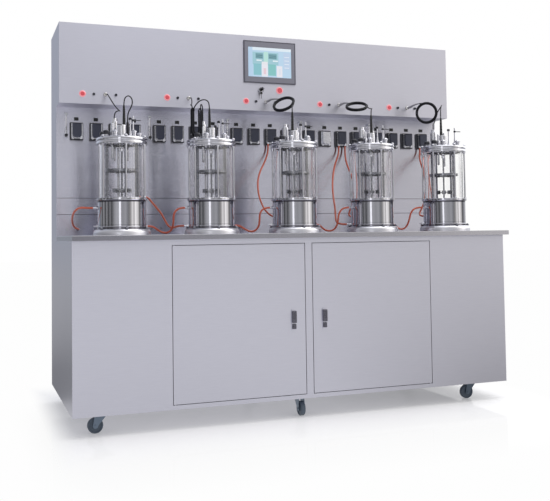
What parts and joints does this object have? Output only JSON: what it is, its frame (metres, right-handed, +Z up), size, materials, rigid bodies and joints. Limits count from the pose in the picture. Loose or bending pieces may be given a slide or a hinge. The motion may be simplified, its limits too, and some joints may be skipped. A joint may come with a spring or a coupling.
{
  "type": "bench bioreactor",
  "caption": "Castered stainless workstation carrying a row of jacketed glass bioreactor vessels, with dosing pumps, gas meters and a touch screen.",
  "frame": {"origin": "under the middle of the whole object, on the floor", "axes": "+X to the right and +Y to the back as seen from the front, +Z up"},
  "size_m": [2.428, 1.01, 2.104],
  "materials": {
    "brushed_sheet": "satin",
    "polished_steel": "polished",
    "vessel_glass": "clear",
    "screen_glass": "gloss",
    "grey_moulding": "matte",
    "lamp_lens": "gloss",
    "dark_moulding": "satin",
    "key_metal": "polished",
    "caster_zinc": "satin",
    "caster_rubber": "matte",
    "service_paint": "satin",
    "hose_silicone": "satin",
    "cable_jacket": "satin"
  },
  "bodies": {
    "station": {"cabinet_shell": "brushed_sheet", "worktop": "brushed_sheet", "tower_housing": "brushed_sheet", "back_panel": "brushed_sheet", "rear_cover": "brushed_sheet", "screen_bezel": "grey_moulding", "screen_display": "screen_glass", "console_fittings": "dark_moulding", "pump_heads": "dark_moulding", "pump_readouts": "dark_moulding", "gas_meters": "vessel_glass", "vessel_bases": "polished_steel", "glass_cylinders": "vessel_glass", "head_plates": "polished_steel", "tie_rods": "polished_steel", "baffle_cages": "polished_steel", "drive_cans": "polished_steel", "cable_boots": "cable_jacket", "probes": "dark_moulding", "lid_ports": "polished_steel", "hose_fittings": "polished_steel", "caster_plates": "caster_zinc", "circulation_units": "service_paint", "control_gear": "service_paint", "jacket_hose_1": "hose_silicone", "jacket_hose_2": "hose_silicone", "jacket_hose_3": "hose_silicone", "jacket_hose_4": "hose_silicone", "jacket_hose_5": "hose_silicone", "pump_hoses": "hose_silicone", "sensor_cables": "cable_jacket", "cable_coils": "cable_jacket"},
    "door_left": {"door_left": "brushed_sheet"},
    "door_right": {"door_right": "brushed_sheet"},
    "latch_left": {"latch_left": "polished_steel"},
    "latch_right": {"latch_right": "polished_steel"},
    "button_1": {"station_button_1": "lamp_lens"},
    "button_2": {"station_button_2": "lamp_lens"},
    "button_3": {"station_button_3": "lamp_lens"},
    "button_4": {"station_button_4": "lamp_lens"},
    "button_5": {"station_button_5": "lamp_lens"},
    "alarm": {"alarm_button": "lamp_lens"},
    "key": {"key_switch": "key_metal"},
    "agitator_1": {"agitator_1": "polished_steel"},
    "agitator_2": {"agitator_2": "polished_steel"},
    "agitator_3": {"agitator_3": "polished_steel"},
    "agitator_4": {"agitator_4": "polished_steel"},
    "agitator_5": {"agitator_5": "polished_steel"},
    "fork_front_left": {"caster_fork_front_left": "caster_zinc"},
    "wheel_front_left": {"caster_wheel_front_left": "caster_rubber"},
    "fork_front_middle": {"caster_fork_front_middle": "caster_zinc"},
    "wheel_front_middle": {"caster_wheel_front_middle": "caster_rubber"},
    "fork_front_right": {"caster_fork_front_right": "caster_zinc"},
    "wheel_front_right": {"caster_wheel_front_right": "caster_rubber"},
    "fork_rear_left": {"caster_fork_rear_left": "caster_zinc"},
    "wheel_rear_left": {"caster_wheel_rear_left": "caster_rubber"},
    "fork_rear_middle": {"caster_fork_rear_middle": "caster_zinc"},
    "wheel_rear_middle": {"caster_wheel_rear_middle": "caster_rubber"},
    "fork_rear_right": {"caster_fork_rear_right": "caster_zinc"},
    "wheel_rear_right": {"caster_wheel_rear_right": "caster_rubber"}
  },
  "joints": [
    {"name": "door_left_swing", "type": "hinge", "parent": "station", "child": "door_left", "pos_m": [-0.725, -0.479, 0.5095], "axis": [0, 0, 1], "range_deg": [-105, 0]},
    {"name": "door_right_swing", "type": "hinge", "parent": "station", "child": "door_right", "pos_m": [0.697, -0.479, 0.5095], "axis": [0, 0, 1], "range_deg": [0, 105]},
    {"name": "latch_left_turn", "type": "hinge", "parent": "door_left", "child": "latch_left", "pos_m": [-0.1, -0.485, 0.505], "axis": [0, 1, 0], "range_deg": [0, 90]},
    {"name": "latch_right_turn", "type": "hinge", "parent": "door_right", "child": "latch_right", "pos_m": [0.072, -0.485, 0.505], "axis": [0, 1, 0], "range_deg": [-90, 0]},
    {"name": "button_1_press", "type": "slide", "parent": "station", "child": "button_1", "axis": [0, 1, 0], "range_m": [0, 0.004], "stiffness_N_per_m": 400},
    {"name": "button_2_press", "type": "slide", "parent": "station", "child": "button_2", "axis": [0, 1, 0], "range_m": [0, 0.004], "stiffness_N_per_m": 400},
    {"name": "button_3_press", "type": "slide", "parent": "station", "child": "button_3", "axis": [0, 1, 0], "range_m": [0, 0.004], "stiffness_N_per_m": 400},
    {"name": "button_4_press", "type": "slide", "parent": "station", "child": "button_4", "axis": [0, 1, 0], "range_m": [0, 0.004], "stiffness_N_per_m": 400},
    {"name": "button_5_press", "type": "slide", "parent": "station", "child": "button_5", "axis": [0, 1, 0], "range_m": [0, 0.004], "stiffness_N_per_m": 400},
    {"name": "alarm_press", "type": "slide", "parent": "station", "child": "alarm", "axis": [0, 1, 0], "range_m": [0, 0.004], "stiffness_N_per_m": 400},
    {"name": "key_turn", "type": "hinge", "parent": "station", "child": "key", "pos_m": [-0.068, 0.069, 1.79], "axis": [0, 1, 0], "range_deg": [0, 90]},
    {"name": "agitator_1_spin", "type": "hinge", "parent": "station", "child": "agitator_1", "pos_m": [-0.946, -0.305, 1.25], "axis": [0, 0, 1], "continuous": true},
    {"name": "agitator_2_spin", "type": "hinge", "parent": "station", "child": "agitator_2", "pos_m": [-0.48, -0.305, 1.25], "axis": [0, 0, 1], "continuous": true},
    {"name": "agitator_3_spin", "type": "hinge", "parent": "station", "child": "agitator_3", "pos_m": [-0.014, -0.305, 1.25], "axis": [0, 0, 1], "continuous": true},
    {"name": "agitator_4_spin", "type": "hinge", "parent": "station", "child": "agitator_4", "pos_m": [0.452, -0.305, 1.25], "axis": [0, 0, 1], "continuous": true},
    {"name": "agitator_5_spin", "type": "hinge", "parent": "station", "child": "agitator_5", "pos_m": [0.918, -0.305, 1.25], "axis": [0, 0, 1], "continuous": true},
    {"name": "swivel_front_left", "type": "hinge", "parent": "station", "child": "fork_front_left", "pos_m": [-1.056, -0.375, 0.0902], "axis": [0, 0, 1], "continuous": true},
    {"name": "roll_front_left", "type": "hinge", "parent": "fork_front_left", "child": "wheel_front_left", "pos_m": [-1.094, -0.375, 0.0375], "axis": [0, -1, 0], "continuous": true},
    {"name": "swivel_front_middle", "type": "hinge", "parent": "station", "child": "fork_front_middle", "pos_m": [-0.039, -0.375, 0.0902], "axis": [0, 0, 1], "continuous": true},
    {"name": "roll_front_middle", "type": "hinge", "parent": "fork_front_middle", "child": "wheel_front_middle", "pos_m": [-0.039, -0.413, 0.0375], "axis": [1, 0, 0], "continuous": true},
    {"name": "swivel_front_right", "type": "hinge", "parent": "station", "child": "fork_front_right", "pos_m": [1.028, -0.375, 0.0902], "axis": [0, 0, 1], "continuous": true},
    {"name": "roll_front_right", "type": "hinge", "parent": "fork_front_right", "child": "wheel_front_right", "pos_m": [0.99, -0.375, 0.0375], "axis": [0, -1, 0], "continuous": true},
    {"name": "swivel_rear_left", "type": "hinge", "parent": "station", "child": "fork_rear_left", "pos_m": [-1.056, 0.395, 0.0902], "axis": [0, 0, 1], "continuous": true},
    {"name": "roll_rear_left", "type": "hinge", "parent": "fork_rear_left", "child": "wheel_rear_left", "pos_m": [-1.02309, 0.414, 0.0375], "axis": [-0.5, 0.866, 0], "continuous": true},
    {"name": "swivel_rear_middle", "type": "hinge", "parent": "station", "child": "fork_rear_middle", "pos_m": [-0.039, 0.395, 0.0902], "axis": [0, 0, 1], "continuous": true},
    {"name": "roll_rear_middle", "type": "hinge", "parent": "fork_rear_middle", "child": "wheel_rear_middle", "pos_m": [-0.052, 0.43071, 0.0375], "axis": [-0.9397, -0.342, 0], "continuous": true},
    {"name": "swivel_rear_right", "type": "hinge", "parent": "station", "child": "fork_rear_right", "pos_m": [1.028, 0.395, 0.0902], "axis": [0, 0, 1], "continuous": true},
    {"name": "roll_rear_right", "type": "hinge", "parent": "fork_rear_right", "child": "wheel_rear_right", "pos_m": [1.06244, 0.37894, 0.0375], "axis": [0.4226, 0.9063, 0], "continuous": true}
  ]
}
